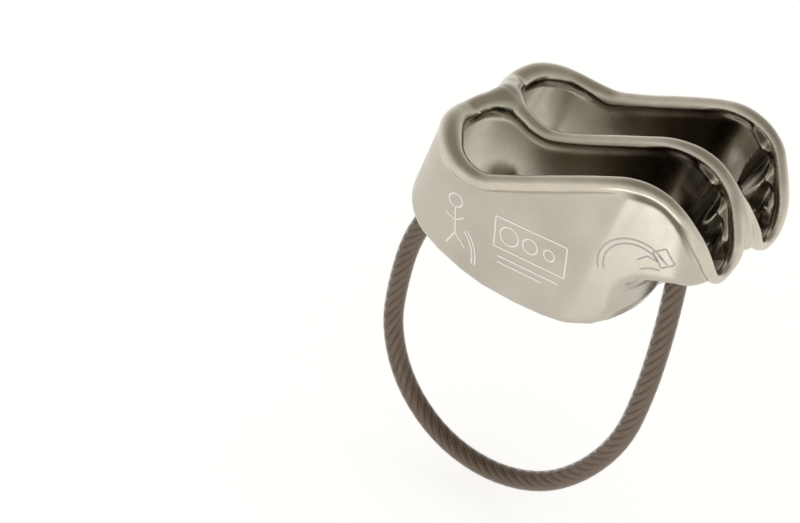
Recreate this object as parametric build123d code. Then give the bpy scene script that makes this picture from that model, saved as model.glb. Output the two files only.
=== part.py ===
"""Tubular belay device with two rope slots and a flexible keeper loop.

Frame: +X points from the climber end to the brake end, +Z up to the mouths that the ropes go in
by, and y = 0 is the middle of the web between the two slots. The origin is on the mid-plane at
the level of the side walls' lower edge, where the carabiner seats. Millimetres throughout.
"""
from build123d import *
import math
import os

os.makedirs("parts", exist_ok=True)

# Tube plan: each half is two circles joined by their tangents, given at the foot and the crown
CROWN = 42.0  # height of the upper plan
LEAN = 0.344  # the climber end leans this far towards the brake end for each mm of height
CLIMBER_X = -18.8  # centre of the climber-end circle at the foot
CLIMBER_Y = (8.3, 10.3)  # offset from the mid-plane, at the foot and at the crown
CLIMBER_R = (9.9, 11.3)
BRAKE_X = 28.8
BRAKE_Y = (6.9, 7.8)
BRAKE_R = (7.4, 8.6)
WALL = 2.6  # side and end walls
WEB_HALF_CLIMBER = 1.9  # half of the web at the climber end
WEB_HALF_BRAKE = 1.8  # and at the brake end

# Brake channels: round-floored openings in the end wall, one for each slot
LIP_Z = 20.6  # lowest point of each channel's floor
FLOOR_Z = 19.9  # slot floor just inside the end wall
CHANNEL_Y = 7.4  # middle of each channel
CHANNEL_R = 4.9  # round floor of the channel
CHANNEL_START = 28.0  # where the cutter for it begins
CHANNEL_LENGTH = 20.0

# Gripping teeth: V grooves in both walls of each slot at the brake end
GROOVES = 3
GROOVE_PITCH = 4.4
GROOVE_WIDTH = 3.4
GROOVE_DEPTH = 0.9
GROOVE_LENGTH = 11.0
GROOVE_LEAN = 27.5  # degrees from vertical
GROOVE_START = (27.9, 36.3)  # upper end of the first groove in the XZ plane
GROOVE_RISE = 4.0  # the cutter starts this far above that
GROOVE_CLEAR = 0.6  # and this far clear of the wall
GROOVE_OUTER_Y = 12.8  # inner face of the outer wall there

# Keeper loop and its two blind sockets
CABLE_R = 2.0  # outside of the plastic sheath
ROPE_R = 1.65  # steel wire rope inside it
MOUTH_GAP = 1.0  # from a socket's mouth to the part of the loop that swings
SOCKET_DEPTH = 9.0
SOCKET_WALL = 1.4
SOCKET_TOP = 2.0  # solid metal past a socket's blind end
FERRULE_LENGTH = 5.0
ROUTE = [  # centre line of the loop in the mid-plane, (x, z), from socket to socket
    (-19.6, 5.6),
    (-27.6, -1.2),
    (-32.4, -10.8),
    (-34.5, -21.8),
    (-35.2, -33.5),
    (-30.5, -45.0),
    (-20.7, -52.7),
    (-8.4, -54.4),
    (3.5, -50.5),
    (12.6, -42.2),
    (19.7, -30.5),
    (22.6, -17.6),
    (24.1, -5.0),
    (24.8, 6.5),
    (25.0, 14.6),
]

HALF_SPAN = 30.0  # cutters drawn across reach this far each way
OVERCUT = 0.01  # a bore starts this far outside its mouth


def circle_pair(level):
    """Climber and brake circles (x, y, r) of one half's outside at the foot or the crown."""
    z = (0.0, CROWN)[level]
    climber = (CLIMBER_X + LEAN * z, CLIMBER_Y[level], CLIMBER_R[level])
    brake = (BRAKE_X, BRAKE_Y[level], BRAKE_R[level])
    return z, climber, brake


def slot_circle(outside, web_half, end_wall):
    """Circle that leaves WALL on the outer side and web_half on the inner side."""
    x, y, r = outside
    slot_r = (y + r - WALL - web_half) / 2
    return x + end_wall * (r - WALL - slot_r), web_half + slot_r, slot_r


def tangent_loop(z, side, first, second):
    """Face at height z inside two circles' outer arcs and the tangents between them."""
    (x1, y1, r1), (x2, y2, r2) = first, second
    y1, y2 = side * y1, side * y2
    heading = math.atan2(y2 - y1, x2 - x1)
    spread = math.acos((r1 - r2) / math.hypot(x2 - x1, y2 - y1))

    def on(x, y, r, angle):
        return (x + r * math.cos(angle), y + r * math.sin(angle), z)

    a, b = heading + spread, heading - spread
    back = heading + math.pi
    edges = [
        ThreePointArc(on(x1, y1, r1, a), on(x1, y1, r1, back), on(x1, y1, r1, b)),
        Line(on(x1, y1, r1, b), on(x2, y2, r2, b)),
        ThreePointArc(on(x2, y2, r2, b), on(x2, y2, r2, heading), on(x2, y2, r2, a)),
        Line(on(x2, y2, r2, a), on(x1, y1, r1, a)),
    ]
    return Face(Wire(edges))


def tube_half(side):
    """Outside of one half of the tube, as a leaning prism."""
    faces = []
    for level in (0, 1):
        z, climber, brake = circle_pair(level)
        faces.append(tangent_loop(z, side, climber, brake))
    return loft(faces, ruled=True)


def slot_prism(side):
    """Space of one slot, as a leaning prism inside the tube half."""
    faces = []
    for level in (0, 1):
        z, climber, brake = circle_pair(level)
        first = slot_circle(climber, WEB_HALF_CLIMBER, -1)
        last = slot_circle(brake, WEB_HALF_BRAKE, 1)
        faces.append(tangent_loop(z, side, first, last))
    return loft(faces, ruled=True)


def drawn_across(curves, half_width, y=0.0):
    """Solid of a closed outline of XZ curves, drawn across from y - half_width to y + half_width."""
    edges = [edge for curve in curves for edge in curve.edges()]
    face = Face(Wire(edges)).translate((0, y - half_width, 0))
    return extrude(face, amount=2 * half_width, dir=(0, 1, 0))


def xz(x, z):
    return (x, 0, z)


def side_silhouette():
    """The whole body seen from the side."""
    edges = [
        Spline(xz(-24, 10.6), xz(-18.5, 6.6), xz(-14, 3.7), xz(-9, 1.6), xz(0, 0), xz(9, 0.5), xz(18.5, 3)),
        Line(xz(18.5, 3), xz(21.3, 5)),
        Spline(xz(21.3, 5), xz(22.1, 9), xz(22.6, 13), xz(24.4, 16.2), xz(27, 17.7), xz(34.6, 18.0)),
        ThreePointArc(xz(34.6, 18.0), xz(36.4, 18.9), xz(37.1, 20.9)),
        Spline(xz(37.1, 20.9), xz(36.9, 25), xz(35.8, 28.9), xz(33.6, 32.6)),
        Spline(xz(33.6, 32.6), xz(30.3, 35.5), xz(26, 36.4), xz(21.5, 36), xz(13.4, 33.1), xz(-5, 25.9)),
        Spline(xz(-5, 25.9), xz(-10, 26.2), xz(-14, 28), xz(-18, 28.8)),
        Polyline(xz(-18, 28.8), xz(-40, 28.8), xz(-40, 10.6), xz(-24, 10.6)),
    ]
    return drawn_across(edges, HALF_SPAN)


def slot_reach():
    """Side view of the space that the slots may take; its brake end stops at the end wall."""
    edges = [
        Polyline(xz(17.4, -5), xz(18.2, 5), xz(19.4, 12)),
        Spline(xz(19.4, 12), xz(21.8, 16.6), xz(25, 18.8), xz(28.6, FLOOR_Z)),
        Polyline(xz(28.6, FLOOR_Z), xz(50, FLOOR_Z), xz(50, 60), xz(-60, 60), xz(-60, -5), xz(17.4, -5)),
    ]
    return drawn_across(edges, HALF_SPAN)


def brake_channel(side):
    """Round-floored channel out through the end wall at the brake end."""
    centre = (CHANNEL_START + CHANNEL_LENGTH / 2, side * CHANNEL_Y, LIP_Z + CHANNEL_R)
    floor = Plane(origin=centre, z_dir=(1, 0, 0)) * Cylinder(CHANNEL_R, CHANNEL_LENGTH)
    walls = Pos(centre[0], centre[1], centre[2] + CROWN / 2) * Box(CHANNEL_LENGTH, 2 * CHANNEL_R, CROWN)
    return floor + walls


def groove(wall_y, depth_dir, index):
    """One V groove in a channel wall; depth_dir is +1 where the wall's metal lies towards +Y."""
    lean = math.radians(GROOVE_LEAN)
    along = Vector(-math.sin(lean), 0, -math.cos(lean))
    across = Vector(math.cos(lean), 0, -math.sin(lean))
    top = Vector(GROOVE_START[0], wall_y, GROOVE_START[1]) + across * (GROOVE_PITCH * index)
    top = top - along * GROOVE_RISE
    half = across * (GROOVE_WIDTH / 2)
    clear = Vector(0, -GROOVE_CLEAR * depth_dir, 0)
    tip = Vector(0, GROOVE_DEPTH * depth_dir, 0)
    section = Face(Wire(Polyline(top - half + clear, top + tip, top + half + clear, close=True).edges()))
    return extrude(section, amount=GROOVE_LENGTH + GROOVE_RISE, dir=along)


def grooves():
    cutters = []
    for side in (-1, 1):
        for index in range(GROOVES):
            cutters.append(groove(side * WEB_HALF_BRAKE, -side, index))
            cutters.append(groove(side * GROOVE_OUTER_Y, side, index))
    return cutters


def socket_axis(end):
    """Mouth of a socket and the unit direction into the body."""
    mouth, nearby = (ROUTE[0], ROUTE[1]) if end == "climber" else (ROUTE[-1], ROUTE[-2])
    mouth = Vector(*xz(*mouth))
    return mouth, (mouth - Vector(*xz(*nearby))).normalized()


def rod(end, radius, start, length):
    """Cylinder on a socket's axis; start is measured from the mouth into the body."""
    mouth, inward = socket_axis(end)
    foot = Plane(origin=mouth + inward * start, z_dir=inward)
    return foot * Cylinder(radius, length, align=(Align.CENTER, Align.CENTER, Align.MIN))


def make_body():
    slots = [slot_prism(side) & slot_reach() for side in (-1, 1)]
    body = tube_half(-1) + tube_half(1)
    body = body & side_silhouette()
    for cutter in slots:
        body = body - cutter
    for side in (-1, 1):
        body = body - brake_channel(side)
    for cutter in grooves():
        body = body - cutter
    for end in ("climber", "brake"):
        body = body + rod(end, CABLE_R + SOCKET_WALL, 0, SOCKET_DEPTH + SOCKET_TOP)
    for end in ("climber", "brake"):
        body = body - rod(end, CABLE_R, -OVERCUT, SOCKET_DEPTH + OVERCUT)
    return body


def loop_path():
    """Centre line of the swinging part: straight runs joined by tangent arcs."""
    points = [Vector(*xz(x, z)) for x, z in ROUTE]
    points[0] = points[0] + (points[1] - points[0]).normalized() * MOUTH_GAP
    points[-1] = points[-1] + (points[-2] - points[-1]).normalized() * MOUTH_GAP
    radii = []
    for before, corner, after in zip(points, points[1:], points[2:]):
        turn = (corner - before).get_angle(after - corner)
        shorter = min((corner - before).length, (after - corner).length)
        radii.append(0.45 * shorter / math.tan(math.radians(turn / 2)))
    print("bend radii", [round(r, 1) for r in radii])
    return FilletPolyline(*points, radius=radii)


def tube_along(path, radius):
    start = Plane(origin=path @ 0, z_dir=path % 0)
    solid = sweep(start * Circle(radius), path=path)
    print("tube", round(solid.volume, 1), "expected", round(math.pi * radius**2 * path.length, 1))
    return solid


def make_keeper():
    """Sheath and wire rope of the swinging part of the loop."""
    path = loop_path()
    rope = tube_along(path, ROPE_R)
    sheath = tube_along(path, CABLE_R) - rope
    return {"keeper_sheath": sheath, "keeper_wire_rope": rope}


def make_socket_pieces(end):
    """What one blind socket holds: the rope's end, its sheath's end and the swaged ferrule."""
    ferrule_start = SOCKET_DEPTH - FERRULE_LENGTH
    rope_end = rod(end, ROPE_R, 0, SOCKET_DEPTH)
    sheath_end = rod(end, CABLE_R, 0, ferrule_start) - rope_end
    ferrule = rod(end, CABLE_R, ferrule_start, FERRULE_LENGTH) - rope_end
    return {
        f"wire_rope_end_{end}": rope_end,
        f"sheath_end_{end}": sheath_end,
        f"ferrule_{end}": ferrule,
    }


def main():
    pieces = {"body": make_body(), **make_keeper()}
    for end in ("climber", "brake"):
        pieces.update(make_socket_pieces(end))
    for node, piece in pieces.items():
        piece.label = node
        export_step(piece, f"parts/{node}.step")


main()
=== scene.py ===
"""Looks of a tubular belay device with a keeper loop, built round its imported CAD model."""

import math

import bpy
import numpy as np
from mathutils import Matrix, Vector


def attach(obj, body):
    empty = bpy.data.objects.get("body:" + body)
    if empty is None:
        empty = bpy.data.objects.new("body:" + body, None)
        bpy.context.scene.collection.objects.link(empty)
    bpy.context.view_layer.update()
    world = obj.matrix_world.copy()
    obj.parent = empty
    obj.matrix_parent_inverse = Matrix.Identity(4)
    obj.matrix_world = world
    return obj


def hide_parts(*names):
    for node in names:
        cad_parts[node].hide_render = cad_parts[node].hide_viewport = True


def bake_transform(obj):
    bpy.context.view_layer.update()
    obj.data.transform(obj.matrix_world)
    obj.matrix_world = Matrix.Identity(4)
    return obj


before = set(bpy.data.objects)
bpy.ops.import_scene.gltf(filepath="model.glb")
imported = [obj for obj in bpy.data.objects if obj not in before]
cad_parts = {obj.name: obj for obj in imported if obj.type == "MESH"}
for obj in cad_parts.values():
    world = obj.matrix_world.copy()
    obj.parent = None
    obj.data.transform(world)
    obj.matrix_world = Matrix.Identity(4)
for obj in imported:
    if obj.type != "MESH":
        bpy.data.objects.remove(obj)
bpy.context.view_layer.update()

MM = 0.001

# ---------------------------------------------------------------- camera
IMAGE_ASPECT = 800 / 523
CAMERA_RIGHT = Vector((0.802, 0.584, 0.126))  # the picture's axes in the row frame
CAMERA_UP = Vector((-0.4256, 0.4093, 0.8058))
AIM = Vector((4.0, 0.0, -6.0)) * MM
AIM_PLACE = (0.7125, 0.5698)  # where AIM falls, in widths and heights from the upper left corner
CAMERA_DISTANCE = 450 * MM  # from AIM
VIEW_WIDTH = 145.45 * MM  # that the picture takes in at AIM
SENSOR_WIDTH = 36  # in Blender's own millimetres, like the lens
NEAREST = 0.01
FARTHEST = 20


def make_camera():
    right = CAMERA_RIGHT.normalized()
    up = (CAMERA_UP - CAMERA_UP.dot(right) * right).normalized()
    back = right.cross(up)
    view_height = VIEW_WIDTH / IMAGE_ASPECT
    across = math.atan((AIM_PLACE[0] - 0.5) * VIEW_WIDTH / CAMERA_DISTANCE)
    down = math.atan((AIM_PLACE[1] - 0.5) * view_height / CAMERA_DISTANCE)
    place = AIM + back * CAMERA_DISTANCE
    turn = Matrix((right, up, back)).transposed()
    turn = turn @ Matrix.Rotation(across, 3, "Y") @ Matrix.Rotation(down, 3, "X")
    data = bpy.data.cameras.new("camera")
    data.sensor_width = SENSOR_WIDTH
    data.lens = SENSOR_WIDTH * CAMERA_DISTANCE / VIEW_WIDTH
    data.clip_start = NEAREST
    data.clip_end = FARTHEST
    camera = bpy.data.objects.new("camera", data)
    camera.matrix_world = Matrix.Translation(place) @ turn.to_4x4()
    bpy.context.scene.collection.objects.link(camera)
    bpy.context.scene.camera = camera


make_camera()

# ---------------------------------------------------------------- body shape, in mm
CROWN = 42.0  # height at which the plan has its upper shape
LEAN = 0.344  # of the climber end towards the brake end, per mm of height


def smooth_min(a, b, reach):
    """The smaller of two distances, rounded where they are within reach of each other."""
    h = np.clip(0.5 + 0.5 * (b - a) / reach, 0, 1)
    return b + (a - b) * h - reach * h * (1 - h)


def smooth_max(a, b, reach):
    return -smooth_min(-a, -b, reach)


def tapered_capsule(x, y, first, second):
    """Signed distance in plan to two circles and the tangents between them."""
    (x1, y1, r1), (x2, y2, r2) = first, second
    dx, dy = x2 - x1, y2 - y1
    span = np.hypot(dx, dy)
    ux, uy = dx / span, dy / span
    along = (x - x1) * ux + (y - y1) * uy
    aside = np.abs((x - x1) * uy - (y - y1) * ux)
    b = (r1 - r2) / span
    a = np.sqrt(1 - b * b)
    k = a * along - b * aside
    flank = a * aside + b * along - r1
    start = np.hypot(aside, along) - r1
    end = np.hypot(aside, along - span) - r2
    return np.where(k < 0, start, np.where(k > a * span, end, flank))


def lerp(pair, t):
    return pair[0] + (pair[1] - pair[0]) * t


def height_share(z):
    """0 at the foot and 1 at the crown, held a little way beyond both."""
    return np.clip(z / CROWN, -0.2, 1.2)


def ramp(v, start, end):
    """0 before start, 1 after end and smooth between."""
    t = np.clip((v - start) / (end - start), 0, 1)
    return t * t * (3 - 2 * t)


def outline_distance(px, pz, points):
    """Signed distance in the XZ plane to a closed outline, negative inside."""
    best = np.full(px.shape, 1e9)
    inside = np.zeros(px.shape, bool)
    for (ax, az), (bx, bz) in zip(points, points[1:] + points[:1]):
        ex, ez = bx - ax, bz - az
        wx, wz = px - ax, pz - az
        t = np.clip((wx * ex + wz * ez) / (ex * ex + ez * ez), 0, 1)
        best = np.minimum(best, (wx - ex * t) ** 2 + (wz - ez * t) ** 2)
        crosses = (az > pz) != (bz > pz)
        if bz != az:
            inside ^= crosses & (px < ex * (pz - az) / (bz - az) + ax)
    return np.where(inside, -1, 1) * np.sqrt(best)


def curve_through(points, steps):
    """Centripetal Catmull-Rom curve through the points, open, as an array."""

    def mix(first, second, start, end, t):
        return first * ((end - t) / (end - start)) + second * ((t - start) / (end - start))

    p = np.array(points, float)
    p = np.vstack([2 * p[0] - p[1], p, 2 * p[-1] - p[-2]])
    out = []
    for i in range(1, len(p) - 2):
        q = p[i - 1 : i + 3]
        gaps = np.linalg.norm(np.diff(q[:, :3], axis=0), axis=1)
        knots = np.concatenate([[0], np.cumsum(gaps**0.5)])
        for t in np.linspace(knots[1], knots[2], steps, endpoint=False):
            a = [mix(q[k], q[k + 1], knots[k], knots[k + 1], t) for k in range(3)]
            b = [mix(a[k], a[k + 1], knots[k], knots[k + 2], t) for k in range(2)]
            out.append(mix(b[0], b[1], knots[1], knots[2], t))
    out.append(p[-2])
    return np.array(out)


# Side view of the whole body without its crown; x, z
SIDE = [
    (-40, 60), (-40, 14.5), (-26, 11.8), (-22.5, 9.7), (-18.5, 7.0), (-14, 4.2), (-9, 2.2), (-4, 1.1),
    (3, 0.8), (9, 1.1), (14, 2.1), (18.5, 3.7), (21, 5.6), (22.1, 8), (22.7, 12), (23.9, 14.9),
    (26, 16.8), (29, 17.8), (31.8, 18.3), (34, 18.1), (35.7, 18.5), (36.9, 19.6), (37.5, 21.7),
    (38, 60),
]
# Side view of the space inside the slots; x, z
REACH = [
    (-60, 60), (-60, -9), (17.8, -9), (18.4, 3), (19.2, 8), (20.0, 13), (22.0, 17.2), (25, 19.6),
    (28.6, 20.0), (32, 19.5), (36, 19.0), (60, 18.8), (60, 60),
]
# Rim curve of one slot: x, distance from the mid-plane, z, bead radius
RIM = [
    (-15.6, 1.2, 27.2, 2.2), (-17.2, 4.0, 27.0, 2.2), (-18.3, 6.6, 26.2, 2.2), (-18.3, 9.4, 26.3, 2.3),
    (-17.4, 12.4, 26.5, 2.3), (-15.5, 15.3, 26.0, 2.2), (-12.8, 17.8, 25.0, 1.9), (-9.3, 19.2, 24.1, 1.7),
    (-5.0, 19.7, 24.1, 1.5), (-0.5, 19.3, 25.7, 1.4), (4.1, 18.9, 27.6, 1.4), (8.8, 18.6, 29.7, 1.4),
    (13.4, 18.2, 31.7, 1.4), (17.9, 17.7, 33.5, 1.4), (22.1, 16.9, 34.8, 1.4), (25.6, 16.2, 35.0, 1.3),
    (28.8, 15.6, 34.2, 1.2), (31.3, 15.0, 32.4, 1.2), (33.0, 14.0, 30.0, 1.2), (34.5, 12.9, 27.1, 1.3),
    (35.6, 12.0, 24.6, 1.2), (36.2, 10.9, 22.1, 1.1), (36.4, 9.2, 19.9, 1.0), (36.4, 7.0, 19.1, 0.95),
    (36.4, 4.8, 19.9, 1.0), (36.3, 3.3, 21.5, 1.3), (35.9, 2.5, 23.6, 1.4), (34.8, 1.7, 26.2, 1.35),
    (33.4, 0.9, 28.8, 1.3), (31.6, 0.3, 30.8, 1.1),
]
# Rim curve of the web, the same way
WEB_RIM = [
    (-15.5, 0, 27.3, 2.0), (-13.2, 0, 26.7, 1.9), (-10.9, 0, 25.7, 1.6), (-8.5, 0, 24.8, 1.4),
    (-5.1, 0, 24.5, 1.3), (-2, 0, 25.3, 1.2), (3.1, 0, 27.3, 1.2), (8.1, 0, 29.5, 1.2), (14, 0, 32.0, 1.2),
    (18.3, 0, 33.8, 1.2), (21.8, 0, 34.5, 1.3), (25.3, 0, 34.5, 1.4), (28.5, 0, 33.5, 1.5),
    (31.2, 0, 31.3, 1.6), (33.6, 0, 28.4, 1.6), (35.1, 0, 25.6, 1.6), (36.0, 0, 22.8, 1.6),
]
# Plan of the half tube on the +Y side: two round ends and a crease in its wall between them
CLIMBER_X = -18.8  # at the foot
BRAKE_X = 28.6
OUT_CLIMBER = ((8.3, 10.3), (9.8, 10.75))  # offset and then radius, each at the foot and the crown
OUT_BRAKE = ((6.9, 7.8), (7.4, 8.4))
CREASE_X = (11.7, 24.1)  # where the side wall turns in, at the foot and the crown
CREASE_OUT = (17.2, 17.9)
CREASE_R = 7.5
CREASE_SHARE = 0.7  # of the way from the climber end to the brake end
WALL = 1.7
WEB_HALF = (1.3, 1.15)  # half the web's thickness at the climber and the brake end
# End walls under the brake arms: they bulge in the middle of each half
END_WALL_X = (14, 20)
END_WALL_Z = (13, 17)
BULGE_Y = 7.0
BULGE = 1.0
BULGE_CURVE = 0.022
GROOVE = 0.4  # between the two bulges
SOCKETS = [((-19.6, 5.6), (0.762, 0.648)), ((25.0, 14.6), (0.025, 1.0))]  # mouth, direction inward
SOCKET_DEPTH = 9.0
BORE_R = 2.03
BORE_CLEAR = -3  # the bore starts this far outside its mouth
BOSS_R = 2.5
BOSS_LENGTH = 11.0
BOSS_TIP = 1.5  # how much longer than wide the boss's rounded end is
TOOTH_ALONG = (-0.46, -0.89)  # direction of the gripping teeth in the XZ plane
TOOTH_PITCH = 4.4
TOOTH_FIRST = 11.0  # distance of the first tooth across that direction
TOOTH_HEIGHT = 1.5
TOOTH_TOP = -44.4  # along TOOTH_ALONG, where the teeth start
TOOTH_RISE = (-1.5, 0.3)  # in pitches, where the toothed part comes out of the wall
SCOOP_FADE = (3, 14)  # down the teeth, where their hollows get shallower
SCOOP_LOSS = 0.75
LAND_FADE = (6, 16)  # down the teeth, where they sink into the wall
# How far surfaces round off into each other
WALL_BLEND = 0.6
SLOT_BLEND = 0.8
SPACE_BLEND = 2.5
HALVES_BLEND = 3.0
SIDE_BLEND = 1.8
EDGE_BLEND = 0.6
BOSS_BLEND = 3.0
RIMS_BLEND = 0.4  # of a slot's rim with the web's
RIMS_BLEND_CLIMBER = 2.4  # more of it, at the climber end
RIMS_BLEND_X = (-14, -6)
BEAD_BLEND = 0.5  # of the rims with the walls
BEAD_BLEND_MIDDLE = 0.8  # more of it, in the middle
CROWN_UNDER_RIM = 0.3


def plan_distance(x, y, z):
    """Outside of the half tube on the +Y side, in plan at each height."""
    t = height_share(z)
    climber = (CLIMBER_X + LEAN * z, lerp(OUT_CLIMBER[0], t), lerp(OUT_CLIMBER[1], t))
    brake = (BRAKE_X, lerp(OUT_BRAKE[0], t), lerp(OUT_BRAKE[1], t))
    crease = (lerp(CREASE_X, t), lerp(CREASE_OUT, t) - CREASE_R, CREASE_R)
    first = tapered_capsule(x, y, climber, crease)
    second = tapered_capsule(x, y, crease, brake)
    wall = smooth_min(first, second, WALL_BLEND)
    return np.minimum(wall, tapered_capsule(x, y, climber, brake))


def tooth_place(x, z):
    """Distance across the teeth from the first one, in pitches, and distance down along them."""
    ax, az = TOOTH_ALONG
    return (-az * x + ax * z - TOOTH_FIRST) / TOOTH_PITCH, ax * x + az * z - TOOTH_TOP


def tooth_height(x, z):
    """Ridges between scooped hollows, sharp at their tips and wider lower down."""
    phase, down = tooth_place(x, z)
    off_centre = np.abs(phase - np.floor(phase) - 0.5)
    depth = TOOTH_HEIGHT * (1 - SCOOP_LOSS * ramp(down, *SCOOP_FADE))
    scoop = np.maximum(0, depth - 4 * TOOTH_HEIGHT * off_centre**2)
    land = TOOTH_HEIGHT * (1 - ramp(down, *LAND_FADE))
    teeth = np.where(phase < 0, land, np.maximum(land - scoop, 0))
    return teeth * ramp(phase, *TOOTH_RISE)


def slot_distance(x, y, z):
    """Inside of the half tube on the +Y side, in plan at each height."""
    t = height_share(z)

    def inner(centre_x, offset, radius, web, end):
        r = (offset + radius - WALL - web) / 2
        return centre_x + end * (radius - WALL - r), web + r, r

    climber_x = CLIMBER_X + LEAN * z
    crease_y = lerp(CREASE_OUT, t) - CREASE_R
    crease_web = lerp(WEB_HALF, CREASE_SHARE)
    climber = inner(climber_x, lerp(OUT_CLIMBER[0], t), lerp(OUT_CLIMBER[1], t), WEB_HALF[0], -1)
    crease = inner(lerp(CREASE_X, t), crease_y, CREASE_R, crease_web, 0)
    brake = inner(BRAKE_X, lerp(OUT_BRAKE[0], t), lerp(OUT_BRAKE[1], t), WEB_HALF[1], 1)
    first = tapered_capsule(x, y, climber, crease)
    second = tapered_capsule(x, y, crease, brake)
    return smooth_min(first, second, SLOT_BLEND)


def bead_distance(x, y, z, curve):
    """Signed distance to a chain of round cones along a curve."""
    best = np.full(x.shape, 1e9)
    for a, b in zip(curve[:-1], curve[1:]):
        e = b[:3] - a[:3]
        wx, wy, wz = x - a[0], y - a[1], z - a[2]
        t = np.clip((wx * e[0] + wy * e[1] + wz * e[2]) / (e @ e), 0, 1)
        d = np.sqrt((wx - t * e[0]) ** 2 + (wy - t * e[1]) ** 2 + (wz - t * e[2]) ** 2)
        best = np.minimum(best, d - (a[3] + (b[3] - a[3]) * t))
    return best


rim_curve = curve_through(RIM, 4)
web_curve = curve_through(WEB_RIM, 3)


def crown_height(x, y):
    """Height of the rim at its nearest stretch in plan, where the walls stop."""
    best = np.full(x.shape, 1e9)
    height = np.zeros(x.shape)
    for curve in (rim_curve, web_curve):
        for a, b in zip(curve[:-1], curve[1:]):
            ex, ey = b[0] - a[0], b[1] - a[1]
            t = np.clip(((x - a[0]) * ex + (y - a[1]) * ey) / (ex * ex + ey * ey), 0, 1)
            d = (x - a[0] - t * ex) ** 2 + (y - a[1] - t * ey) ** 2
            nearer = d < best
            best = np.where(nearer, d, best)
            height = np.where(nearer, a[2] + (b[2] - a[2]) * t, height)
    return height


def lower_end_shift(x, y, z):
    """Rounds the two halves' end walls under the brake arms, with a groove between them."""
    low = ramp(x, *END_WALL_X) * (1 - ramp(z, *END_WALL_Z))
    return low * np.minimum(BULGE_CURVE * (y - BULGE_Y) ** 2 - BULGE, GROOVE)


def space_distance(x, y, z):
    """The open space in the slots and brake channels, without the teeth."""
    return smooth_max(slot_distance(x, y, z), outline_distance(x, z, REACH), SPACE_BLEND)


def rod_distance(x, y, z, socket, radius, start, end):
    """Cylinder on a socket's axis, between two distances from its mouth into the body."""
    (mx, mz), (ix, iz) = socket
    along = (x - mx) * ix + (z - mz) * iz
    aside = np.sqrt(((x - mx) * iz - (z - mz) * ix) ** 2 + y * y) - radius
    return np.maximum(aside, np.maximum(start - along, along - end))


def tip_distance(x, y, z, socket):
    """Half ball that rounds off the blind end of a socket's boss."""
    (mx, mz), (ix, iz) = socket
    reach = BOSS_LENGTH - BOSS_TIP * BOSS_R
    behind = np.maximum((x - mx) * ix + (z - mz) * iz - reach, 0)
    aside = np.sqrt(((x - mx) * iz - (z - mz) * ix) ** 2 + y * y)
    return np.hypot(behind / BOSS_TIP, aside) - BOSS_R


def body_distance(x, y, z):
    """Signed distance to the whole body, the same on both sides of the mid-plane."""
    y = np.abs(y)
    out = smooth_min(plan_distance(x, y, z), plan_distance(x, -y, z), HALVES_BLEND)
    side = outline_distance(x + lower_end_shift(x, y, z), z, SIDE)
    solid = smooth_max(out, side, SIDE_BLEND)
    solid = smooth_max(solid, z - crown_height(x, y) + CROWN_UNDER_RIM, EDGE_BLEND)
    space = space_distance(x, y, z) + tooth_height(x, z)
    solid = smooth_max(solid, -space, EDGE_BLEND)
    rim = bead_distance(x, y, z, rim_curve)
    web = bead_distance(x, y, z, web_curve)
    rims_blend = RIMS_BLEND + RIMS_BLEND_CLIMBER * (1 - ramp(x, *RIMS_BLEND_X))
    bead_blend = BEAD_BLEND + BEAD_BLEND_MIDDLE * ramp(x, -16, -2) * (1 - ramp(x, 10, 20))
    solid = smooth_min(solid, smooth_min(rim, web, rims_blend), bead_blend)
    for socket in SOCKETS:
        rod = rod_distance(x, y, z, socket, BOSS_R, 0, BOSS_LENGTH)
        boss = np.maximum(rod, tip_distance(x, y, z, socket))
        bore = rod_distance(x, y, z, socket, BORE_R, BORE_CLEAR, SOCKET_DEPTH)
        solid = smooth_min(solid, boss, BOSS_BLEND)
        solid = np.maximum(solid, -bore)
    return solid


SLOPE_REACH = 0.05


def slope_at(distance, p):
    """Gradient of a signed distance at each point."""
    ahead = [distance(*(p + SLOPE_REACH * axis).T) for axis in np.eye(3)]
    behind = [distance(*(p - SLOPE_REACH * axis).T) for axis in np.eye(3)]
    return (np.stack(ahead, 1) - np.stack(behind, 1)) / (2 * SLOPE_REACH)


COARSE_STEP = 3  # cells; the fine pass works only near the coarse one's surface
COARSE_MARGIN = 2.2
STEEPEST_MOVE = 0.3  # of a cell, for a point that is moved onto the surface


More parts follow.
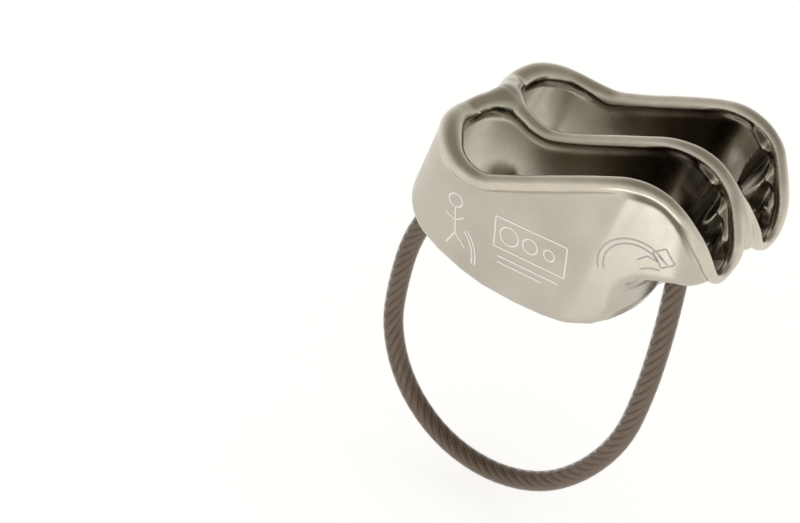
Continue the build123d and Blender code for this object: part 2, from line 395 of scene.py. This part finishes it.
def surface_mesh(distance, low, high, cell, name):
    """Surface-nets mesh of a signed distance, its points then moved onto the surface."""
    counts = [int(math.ceil((h - l) / cell)) + 1 for l, h in zip(low, high)]
    axes = [l + cell * np.arange(n) for l, n in zip(low, counts)]
    gx, gy, gz = np.meshgrid(*axes, indexing="ij")
    coarse_cells = (slice(None, None, COARSE_STEP),) * 3
    spread = distance(gx[coarse_cells], gy[coarse_cells], gz[coarse_cells])
    for d in range(3):
        spread = spread.repeat(COARSE_STEP, d)
    spread = spread[: gx.shape[0], : gx.shape[1], : gx.shape[2]]
    value = spread.astype(np.float32)
    near = np.abs(spread) < cell * COARSE_STEP * COARSE_MARGIN
    value[near] = distance(gx[near], gy[near], gz[near])
    inside = value < 0
    cut = np.zeros(tuple(n - 1 for n in inside.shape), bool)
    total = np.zeros(cut.shape + (3,), np.float32)
    number = np.zeros(cut.shape, np.float32)
    corners = [(i, j, k) for i in (0, 1) for j in (0, 1) for k in (0, 1)]

    def part(a, c):
        return a[tuple(slice(c[d], a.shape[d] - 1 + c[d]) for d in range(3))]

    for c in corners:
        for d in range(3):
            if c[d]:
                continue
            e = tuple(1 if k == d else c[k] for k in range(3))
            va, vb = part(value, c), part(value, e)
            crossing = (va < 0) != (vb < 0)
            t = np.where(crossing, va / np.where(crossing, va - vb, 1), 0)
            spot = np.array(c, np.float32) + t[..., None] * (np.array(e) - np.array(c))
            total += np.where(crossing[..., None], spot, 0)
            number += crossing
            cut |= crossing
    index = np.full(cut.shape, -1, np.int64)
    cells = np.argwhere(cut)
    index[cut] = np.arange(len(cells))
    points = total[cut] / number[cut][:, None] + cells
    points = points * cell + np.array(low)
    faces = []
    for d in range(3):
        u, v = (d + 1) % 3, (d + 2) % 3
        here = [slice(0, -1)] * 3
        ahead = [slice(0, -1)] * 3
        ahead[d] = slice(1, None)
        a, b = inside[tuple(here)], inside[tuple(ahead)]
        edge = np.argwhere(a != b)
        edge = edge[(edge[:, u] > 0) & (edge[:, v] > 0)]
        start_in = inside[tuple(edge.T)]
        quad = []
        for du, dv in ((-1, -1), (0, -1), (0, 0), (-1, 0)):
            c = edge.copy()
            c[:, u] += du
            c[:, v] += dv
            quad.append(index[tuple(c.T)])
        quad = np.stack(quad, 1)
        quad[~start_in] = quad[~start_in][:, ::-1]
        faces.append(quad)
    faces = np.vstack(faces)
    p = points.astype(float)
    for _ in range(3):
        slope = slope_at(distance, p)
        size = np.maximum((slope**2).sum(1), 0.25)
        move = distance(p[:, 0], p[:, 1], p[:, 2])[:, None] * slope / size[:, None]
        p -= np.clip(move, -STEEPEST_MOVE * cell, STEEPEST_MOVE * cell)
    mesh = bpy.data.meshes.new(name)
    mesh.from_pydata((p * MM).tolist(), [], faces.tolist())
    mesh.polygons.foreach_set("use_smooth", [True] * len(mesh.polygons))
    mesh.update()
    return mesh


BODY_LOW = (-29, -23, -3)  # a box with room round the body
BODY_HIGH = (42, 23, 43)
BODY_CELL = 0.4
# strength of the painted shade in the band under the rims, and how much of the painted shade on the slots'
# walls is taken away at the brake end
BAND_DARKNESS = 0.95
BRAKE_LIGHTENING = 0.4


def wear_highlight_and_shade(points):
    """Rubbed rims and painted highlight on the teeth's crests; painted shade in the slots and under the
    rims.
    """
    x, y, z = points[:, 0], np.abs(points[:, 1]), points[:, 2]
    to_rim = np.minimum(bead_distance(x, y, z, rim_curve), bead_distance(x, y, z, web_curve))
    phase, down = tooth_place(x, z)
    # a painted highlight along the teeth's crests, which also clears the painted shade from them
    crest = ramp(np.abs(phase - np.round(phase)), 0.13, 0.04)
    crest = crest * ramp(phase, -0.5, 0) * (1 - ramp(down, 6, 9))
    inside = ramp(-space_distance(x, y, z), -1.2, 0.0)
    below = crown_height(x, y) - z
    # painted shade on the slots' walls, from a slanted edge near the climber end and less towards the
    # brake end
    edge = 0.35 * (y - 1.3) - 14
    walls = inside * ramp(below, 0.6, 2.6) * ramp(x, edge, edge + 14)
    walls = walls * (1 - BRAKE_LIGHTENING * ramp(x, 19, 27))
    # painted shade in a band in the slots, right under the rims
    band = inside * ramp(below, -0.6, 0.2) * (1 - ramp(below, 1.0, 2.2)) * BAND_DARKNESS
    # painted shade in the fold outside, under the rim of each brake arm
    fold = ramp(x, 21, 25) * (1 - ramp(x, 31.5, 34.5)) * ramp(y, 9, 12) * (1 - inside)
    fold = fold * ramp(below, 0.0, 0.6) * (1 - ramp(to_rim, 0.5, 1.2))
    shade = np.maximum(np.maximum(walls, band), fold) * (1 - crest * inside)
    return np.maximum(ramp(-to_rim, -0.8, 0.1), crest * inside), shade


def make_body():
    mesh = surface_mesh(body_distance, BODY_LOW, BODY_HIGH, BODY_CELL, "body_shell")
    wear_and_highlight, shade = wear_highlight_and_shade(np.array([v.co[:] for v in mesh.vertices]) / MM)
    # point attributes: polish at the rims with the painted highlight on the teeth's crests, and the
    # painted shade
    for name, value in (("rim", wear_and_highlight), ("inner", shade)):
        layer = mesh.attributes.new(name, "FLOAT", "POINT")
        layer.data.foreach_set("value", value.astype(np.float32))
    body = bpy.data.objects.new("body_shell", mesh)
    bpy.context.scene.collection.objects.link(body)
    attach(body, "device")
    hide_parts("body")
    return body


body = make_body()

# ---------------------------------------------------------------- keeper loop
CABLE_R = 2.0
ROPE_R = 1.88
STRANDS = 6
# six strands that touch each other just fill the wire rope round its core
STRAND_R = ROPE_R * math.sin(math.pi / STRANDS) / (1 + math.sin(math.pi / STRANDS))
LAY_LENGTH = 15.0  # one turn of a strand round the wire rope
ROUTE = [  # centre line of the loop in the mid-plane, (x, z), from socket to socket
    (-19.6, 5.6), (-27.6, -1.2), (-32.4, -10.8), (-34.5, -21.8), (-35.2, -33.5), (-30.5, -45.0),
    (-20.7, -52.7), (-8.4, -54.4), (3.5, -50.5), (12.6, -42.2), (19.7, -30.5), (22.6, -17.6),
    (24.1, -5.0), (24.8, 6.5), (25.0, 14.6),
]
RING_STEP = 0.5  # between the rings of the loop's tubes
SHEATH_SIDES = 32
STRAND_SIDES = 12
CORE_SIDES = 8


def route_points():
    """Points of the loop's own smooth line, socket to socket, in metres."""
    data = bpy.data.curves.new("route", "CURVE")
    data.dimensions = "3D"
    spline = data.splines.new("NURBS")
    spline.points.add(len(ROUTE) - 1)
    for point, (x, z) in zip(spline.points, ROUTE):
        point.co = (x * MM, 0, z * MM, 1)
    spline.order_u = 3
    spline.use_endpoint_u = True
    spline.resolution_u = 24
    line = bpy.data.objects.new("route", data)
    mesh = bpy.data.meshes.new_from_object(line)
    points = np.array([v.co[:] for v in mesh.vertices])
    bpy.data.objects.remove(line)
    bpy.data.meshes.remove(mesh)
    return points


def along(points):
    """Distance of each point from the first, along the line."""
    return np.concatenate([[0], np.cumsum(np.linalg.norm(np.diff(points, axis=0), axis=1))])


def evenly(points, step):
    """The same line with points a step apart, which keeps a tube's rings even."""
    s = along(points)
    t = np.linspace(0, s[-1], int(s[-1] / step) + 1)
    return np.stack([np.interp(t, s, points[:, k]) for k in range(3)], 1)


def tube_mesh(name, points, radius, sides):
    """Closed tube of a round section on the points, in the same units as they are."""
    tangent = np.gradient(points, axis=0)
    tangent /= np.linalg.norm(tangent, axis=1)[:, None]
    first = np.cross(tangent, (0, 1, 0))
    first /= np.linalg.norm(first, axis=1)[:, None]
    second = np.cross(tangent, first)
    angle = np.linspace(0, 2 * math.pi, sides, endpoint=False)
    ring = np.cos(angle)[None, :, None] * first[:, None] + np.sin(angle)[None, :, None] * second[:, None]
    verts = (points[:, None] + radius * ring).reshape(-1, 3)
    faces = []
    for i in range(len(points) - 1):
        for j in range(sides):
            k = (j + 1) % sides
            faces.append((i * sides + j, i * sides + k, (i + 1) * sides + k, (i + 1) * sides + j))
    faces.append(tuple(range(sides))[::-1])
    faces.append(tuple(range((len(points) - 1) * sides, len(points) * sides)))
    mesh = bpy.data.meshes.new(name)
    mesh.from_pydata(verts.tolist(), [], faces)
    mesh.polygons.foreach_set("use_smooth", [True] * len(mesh.polygons))
    return mesh


def join(meshes, name):
    verts, faces = [], []
    for mesh in meshes:
        start = len(verts)
        verts += [v.co[:] for v in mesh.vertices]
        faces += [tuple(start + i for i in p.vertices) for p in mesh.polygons]
        bpy.data.meshes.remove(mesh)
    mesh = bpy.data.meshes.new(name)
    mesh.from_pydata(verts, [], faces)
    mesh.polygons.foreach_set("use_smooth", [True] * len(mesh.polygons))
    return mesh


def strand_lines(line):
    """Centre lines of the wire rope's strands, twisted round the loop's line."""
    s = along(line)
    tangent = np.gradient(line, axis=0)
    tangent /= np.linalg.norm(tangent, axis=1)[:, None]
    across = np.cross(tangent, (0, 1, 0))
    offset = (ROPE_R - STRAND_R) * MM
    for k in range(STRANDS):
        a = (2 * math.pi * (k / STRANDS - s / (LAY_LENGTH * MM)))[:, None]
        yield line + offset * (np.cos(a) * across + np.sin(a) * np.array([0, 1, 0]))


def bend_at_sockets(piece):
    """Bakes the piece's transform into its mesh; the sockets' line and the way down from it are worked out
    but not used.
    """
    a = Vector((ROUTE[0][0], 0, ROUTE[0][1]))
    b = Vector((ROUTE[-1][0], 0, ROUTE[-1][1]))
    down = (b - a).normalized().cross(Vector((0, 1, 0)))
    down = down if down.z < 0 else -down
    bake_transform(piece)


def make_loop():
    route = route_points()
    line = evenly(route, RING_STEP * MM)
    tube = tube_mesh("loop_sheath", line, CABLE_R * MM, SHEATH_SIDES)
    sheath = bpy.data.objects.new("loop_sheath", tube)
    strands = [tube_mesh("strand", s, STRAND_R * MM, STRAND_SIDES) for s in strand_lines(line)]
    strands.append(tube_mesh("strand", line, (ROPE_R - 2 * STRAND_R) * MM, CORE_SIDES))
    rope = bpy.data.objects.new("loop_wire_rope", join(strands, "loop_wire_rope"))
    for piece in (sheath, rope):
        bpy.context.scene.collection.objects.link(piece)
        bend_at_sockets(piece)
    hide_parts("keeper_sheath")
    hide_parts("keeper_wire_rope")
    return sheath, rope


sheath, wire_rope = make_loop()


# ---------------------------------------------------------------- etched marks
def arc(x, z, radius, start, end, steps=18):
    angles = [math.radians(start + (end - start) * i / steps) for i in range(steps + 1)]
    return [(x + radius * math.cos(a), z + radius * math.sin(a)) for a in angles]


def circle(x, z, radius):
    return arc(x, z, radius, 0, 360, 24)


def box_outline(x, z, wide, high, lean=0.0):
    c, s = math.cos(math.radians(lean)), math.sin(math.radians(lean))
    corners = [(-wide, -high), (wide, -high), (wide, high), (-wide, high), (-wide, -high)]
    return [(x + (u * c - v * s) / 2, z + (u * s + v * c) / 2) for u, v in corners]


# Light strokes: a stick figure with a rope at its feet, and a panel with three circles; (x, z)
LIGHT_STROKES = [
    circle(-10.3, 17.3, 1.4),
    [(-10.3, 15.9), (-10.1, 10.4)],
    [(-12.3, 14.1), (-10.25, 13.0), (-8.4, 14.3)],
    [(-11.9, 7.4), (-10.1, 10.4), (-8.0, 8.0)],
    arc(-13.6, 6.4, 7.4, -8, 44),
    arc(-13.6, 6.4, 8.1, -8, 42),
    box_outline(5.4, 14.8, 14.6, 6.4),
    circle(1.1, 14.8, 1.9),
    circle(5.4, 14.8, 1.5),
    circle(9.3, 14.8, 1.1),
    [(-1.0, 9.8), (11.6, 9.8)],
    [(-1.0, 8.5), (8.4, 8.5)],
]
# Grey strokes: a rope's arc over the brake side, and a closed grip on it
GREY_STROKES = [
    arc(25.0, 18.8, 6.4, 42, 196),
    arc(25.0, 18.8, 5.4, 42, 196),
    box_outline(29.8, 23.4, 3.2, 2.6, -56),
    [(28.8, 23.6), (30.6, 22.4)],
    [(25.4, 21.4), (27.0, 22.8), (28.8, 22.4)],
    [(26.0, 19.7), (27.8, 20.6), (29.4, 20.8)],
]
STROKE_WIDTH = 0.3
STROKE_RISE = 0.03
STROKE_STEP = 0.35
OUTSIDE_Y = -23.0  # clear of the near wall


def onto_wall(points):
    """Moves points to the body's near outer wall, along Y."""
    p = np.array([(x, OUTSIDE_Y, z) for x, z in points])
    for _ in range(40):
        p[:, 1] += 0.8 * body_distance(p[:, 0], p[:, 1], p[:, 2])
    return p


def normals_at(p):
    slope = slope_at(body_distance, p)
    return slope / np.linalg.norm(slope, axis=1)[:, None]


def stroke_mesh(strokes, name):
    """Thin ribbons that lie on the wall along the strokes."""
    verts, faces = [], []
    for stroke in strokes:
        line = evenly(np.array([(x, 0, z) for x, z in stroke], float), STROKE_STEP)[:, [0, 2]]
        p = onto_wall(line)
        n = normals_at(p)
        tangent = np.gradient(p, axis=0)
        side = np.cross(n, tangent)
        side *= STROKE_WIDTH / 2 / np.linalg.norm(side, axis=1)[:, None]
        start = len(verts)
        for edge in (p + side + n * STROKE_RISE, p - side + n * STROKE_RISE):
            verts += (edge * MM).tolist()
        count = len(p)
        for i in range(start, start + count - 1):
            faces.append((i, i + 1, i + count + 1, i + count))
    mesh = bpy.data.meshes.new(name)
    mesh.from_pydata(verts, [], faces)
    mesh.polygons.foreach_set("use_smooth", [True] * len(mesh.polygons))
    marks = bpy.data.objects.new(name, mesh)
    bpy.context.scene.collection.objects.link(marks)
    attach(marks, "device")
    return marks


light_marks = stroke_mesh(LIGHT_STROKES, "light_marks")
grey_marks = stroke_mesh(GREY_STROKES, "grey_marks")


# ---------------------------------------------------------------- materials
SATIN_COLOURS = ((0.47, 0.437, 0.372), (0.525, 0.488, 0.417))
# colour of the polished rims and of the painted highlight on the teeth's crests
WORN_AND_HIGHLIT_COLOUR = (0.60, 0.55, 0.45)
# colour of the painted shade in the slots and under the rims
PAINTED_SHADE_COLOUR = (0.11, 0.09, 0.06)
GLOSSIER = 0.12  # less roughness where the surface is worn or in the slots


class Shader:
    """A new material's nodes, with short calls to add and join them."""

    def __init__(self, name):
        self.material = bpy.data.materials.new(name)
        self.material.use_nodes = True
        self.nodes = self.material.node_tree.nodes
        self.links = self.material.node_tree.links
        self.out = self.nodes["Principled BSDF"]
        self.place = self.nodes.new("ShaderNodeTexCoord").outputs["Object"]

    def set(self, **values):
        for key, value in values.items():
            self.out.inputs[key.replace("_", " ")].default_value = value

    def noise(self, scale, detail=4.0, stretch=None):
        node = self.nodes.new("ShaderNodeTexNoise")
        node.inputs["Scale"].default_value = scale
        node.inputs["Detail"].default_value = detail
        place = self.place
        if stretch:
            mapping = self.nodes.new("ShaderNodeMapping")
            mapping.inputs["Scale"].default_value = stretch
            self.links.new(place, mapping.inputs["Vector"])
            place = mapping.outputs["Vector"]
        self.links.new(place, node.inputs["Vector"])
        return node.outputs["Fac"]

    def attribute(self, name):
        node = self.nodes.new("ShaderNodeAttribute")
        node.attribute_name = name
        return node.outputs["Fac"]

    def range(self, value, low, high, to_low, to_high):
        node = self.nodes.new("ShaderNodeMapRange")
        node.inputs["From Min"].default_value = low
        node.inputs["From Max"].default_value = high
        node.inputs["To Min"].default_value = to_low
        node.inputs["To Max"].default_value = to_high
        self.links.new(value, node.inputs["Value"])
        return node.outputs["Result"]

    def math(self, kind, a, b):
        node = self.nodes.new("ShaderNodeMath")
        node.operation = kind
        for socket, value in zip(node.inputs, (a, b)):
            if isinstance(value, (int, float)):
                socket.default_value = value
            else:
                self.links.new(value, socket)
        return node.outputs[0]

    def mix(self, factor, a, b):
        node = self.nodes.new("ShaderNodeMix")
        node.data_type = "RGBA"
        self.links.new(factor, node.inputs["Factor"])
        for socket, value in ((node.inputs[6], a), (node.inputs[7], b)):
            if isinstance(value, tuple):
                socket.default_value = (*value, 1)
            else:
                self.links.new(value, socket)
        return node.outputs[2]

    def bump(self, height, distance, strength):
        node = self.nodes.new("ShaderNodeBump")
        node.inputs["Distance"].default_value = distance
        node.inputs["Strength"].default_value = strength
        self.links.new(height, node.inputs["Height"])
        self.links.new(node.outputs["Normal"], self.out.inputs["Normal"])

    def join(self, value, key):
        self.links.new(value, self.out.inputs[key])


def anodised():
    """Titanium-grey anodised aluminium, polished brighter where ropes run over its rims, with a painted
    highlight on the teeth's crests and painted shade in the slots and under the rims.
    """
    m = Shader("anodised_aluminium")
    m.set(Metallic=1.0, Coat_Weight=0.12, Coat_Roughness=0.18)
    cloud = m.range(m.noise(90, 5), 0.35, 0.65, 0.0, 1.0)
    satin = m.mix(cloud, *SATIN_COLOURS)
    patches = m.range(m.noise(260, 6), 0.3, 0.6, 0.4, 1.0)
    # the rims' polish and the painted highlight on the teeth's crests, in patches
    worn_and_highlit = m.math("MULTIPLY", m.attribute("rim"), patches)
    shade = m.mix(worn_and_highlit, satin, WORN_AND_HIGHLIT_COLOUR)
    # the painted shade, a little mottled
    shade_patches = m.range(m.noise(140, 5), 0.2, 0.8, 0.85, 1.0)
    inner = m.math("MULTIPLY", m.attribute("inner"), shade_patches)
    m.join(m.mix(inner, shade, PAINTED_SHADE_COLOUR), "Base Color")
    rough = m.range(m.noise(420, 6), 0.3, 0.7, 0.25, 0.34)
    smoother = m.math("MULTIPLY", m.math("MAXIMUM", worn_and_highlit, inner), GLOSSIER)
    m.join(m.math("SUBTRACT", rough, smoother), "Roughness")
    brushed = m.noise(900, 6, (0.25, 1, 1.6))
    grain = m.math("ADD", m.noise(2600, 3), m.math("MULTIPLY", brushed, 0.8))
    m.bump(grain, 0.00001, 0.2)
    return m.material


def etched(name, low, high):
    """A matt etched line, mottled between two colours."""
    m = Shader(name)
    m.set(Metallic=0.35, Roughness=0.55)
    m.join(m.mix(m.noise(3000, 4), low, high), "Base Color")
    m.join(m.range(m.noise(5000, 2), 0, 1, 0.45, 0.7), "Roughness")
    m.bump(m.noise(6000, 3), 0.00002, 0.4)
    return m.material


def clear_sheath():
    """Translucent brown plastic over the wire rope, dulled by handling."""
    m = Shader("clear_brown_plastic")
    m.set(Alpha=0.5, Coat_Weight=0.3, Coat_Roughness=0.15, IOR=1.46)
    m.join(m.mix(m.noise(300, 5), (0.08, 0.052, 0.033), (0.135, 0.096, 0.066)), "Base Color")
    m.join(m.range(m.noise(900, 5), 0.3, 0.7, 0.22, 0.38), "Roughness")
    m.bump(m.noise(1200, 5), 0.00004, 0.3)
    return m.material


def steel(name, dark, light, rough):
    """Dull steel, mottled between two colours."""
    m = Shader(name)
    m.set(Metallic=0.85)
    m.join(m.mix(m.noise(700, 6), dark, light), "Base Color")
    m.join(m.range(m.noise(1500, 4), 0.3, 0.7, rough - 0.06, rough + 0.08), "Roughness")
    m.bump(m.noise(2500, 4), 0.00003, 0.3)
    return m.material


def dress(piece, material):
    piece.data.materials.clear()
    piece.data.materials.append(material)


rope_steel = steel("twisted_steel", (0.28, 0.20, 0.145), (0.46, 0.355, 0.27), 0.42)
ferrule_steel = steel("swaged_steel", (0.50, 0.49, 0.47), (0.64, 0.63, 0.61), 0.3)
plastic = clear_sheath()
dress(body, anodised())
dress(light_marks, etched("light_etching", (0.78, 0.76, 0.70), (0.9, 0.88, 0.83)))
dress(grey_marks, etched("grey_etching", (0.36, 0.35, 0.33), (0.5, 0.49, 0.46)))
dress(sheath, plastic)
dress(wire_rope, rope_steel)
for end in ("climber", "brake"):
    dress(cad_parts["wire_rope_end_" + end], rope_steel)
    dress(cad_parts["sheath_end_" + end], plastic)
    dress(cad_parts["ferrule_" + end], ferrule_steel)

# ---------------------------------------------------------------- floor and light
FLOOR_Z = -58.0
FLOOR_HALF = 6.0  # in metres
FLOOR_GLOW = 0.58
LEVEL_COLOUR = (1, 1, 1, 1)  # of the world at the horizon and below
OVERHEAD_COLOUR = (0.35, 0.33, 0.29, 1)
OVERHEAD_FROM = 0.85  # of straight up
WORLD_STRENGTH = 0.95


def make_floor():
    mesh = bpy.data.meshes.new("floor")
    h = FLOOR_HALF
    mesh.from_pydata([(-h, -h, 0), (h, -h, 0), (h, h, 0), (-h, h, 0)], [], [(0, 1, 2, 3)])
    floor = bpy.data.objects.new("floor", mesh)
    floor.location = (0, 0, FLOOR_Z * MM)
    bpy.context.scene.collection.objects.link(floor)
    m = Shader("pale_floor")
    m.set(Roughness=0.9, Specular_IOR_Level=0.1)
    m.set(Emission_Color=(1, 1, 1, 1), Emission_Strength=FLOOR_GLOW)
    m.join(m.mix(m.noise(3, 3), (0.93, 0.93, 0.93), (0.95, 0.95, 0.95)), "Base Color")
    dress(floor, m.material)


def soft_light(name, place, size, power, target):
    data = bpy.data.lights.new(name, "AREA")
    data.shape = "RECTANGLE"
    data.size, data.size_y = size
    data.energy = power
    light = bpy.data.objects.new(name, data)
    light.location = place
    light.rotation_euler = (Vector(target) - Vector(place)).to_track_quat("-Z", "Y").to_euler()
    light.visible_camera = False
    bpy.context.scene.collection.objects.link(light)


def make_world():
    world = bpy.data.worlds.new("studio")
    world.use_nodes = True
    background = world.node_tree.nodes["Background"]
    nodes, links = world.node_tree.nodes, world.node_tree.links
    direction = nodes.new("ShaderNodeTexCoord").outputs["Generated"]
    height = nodes.new("ShaderNodeSeparateXYZ")
    links.new(direction, height.inputs[0])
    shades = nodes.new("ShaderNodeValToRGB")
    level, overhead = shades.color_ramp.elements
    level.position = 0.0
    level.color = LEVEL_COLOUR
    overhead.position = OVERHEAD_FROM
    overhead.color = OVERHEAD_COLOUR
    links.new(height.outputs["Z"], shades.inputs[0])
    links.new(shades.outputs["Color"], background.inputs["Color"])
    background.inputs["Strength"].default_value = WORLD_STRENGTH
    bpy.context.scene.world = world


make_floor()
make_world()
soft_light(
    "brake_side_fill",
    place=(0.035, -0.12, -0.05),
    size=(0.07, 0.07),
    power=0.02,
    target=(0.03, -0.014, 0.015),
)
bpy.context.scene.view_settings.view_transform = "Standard"
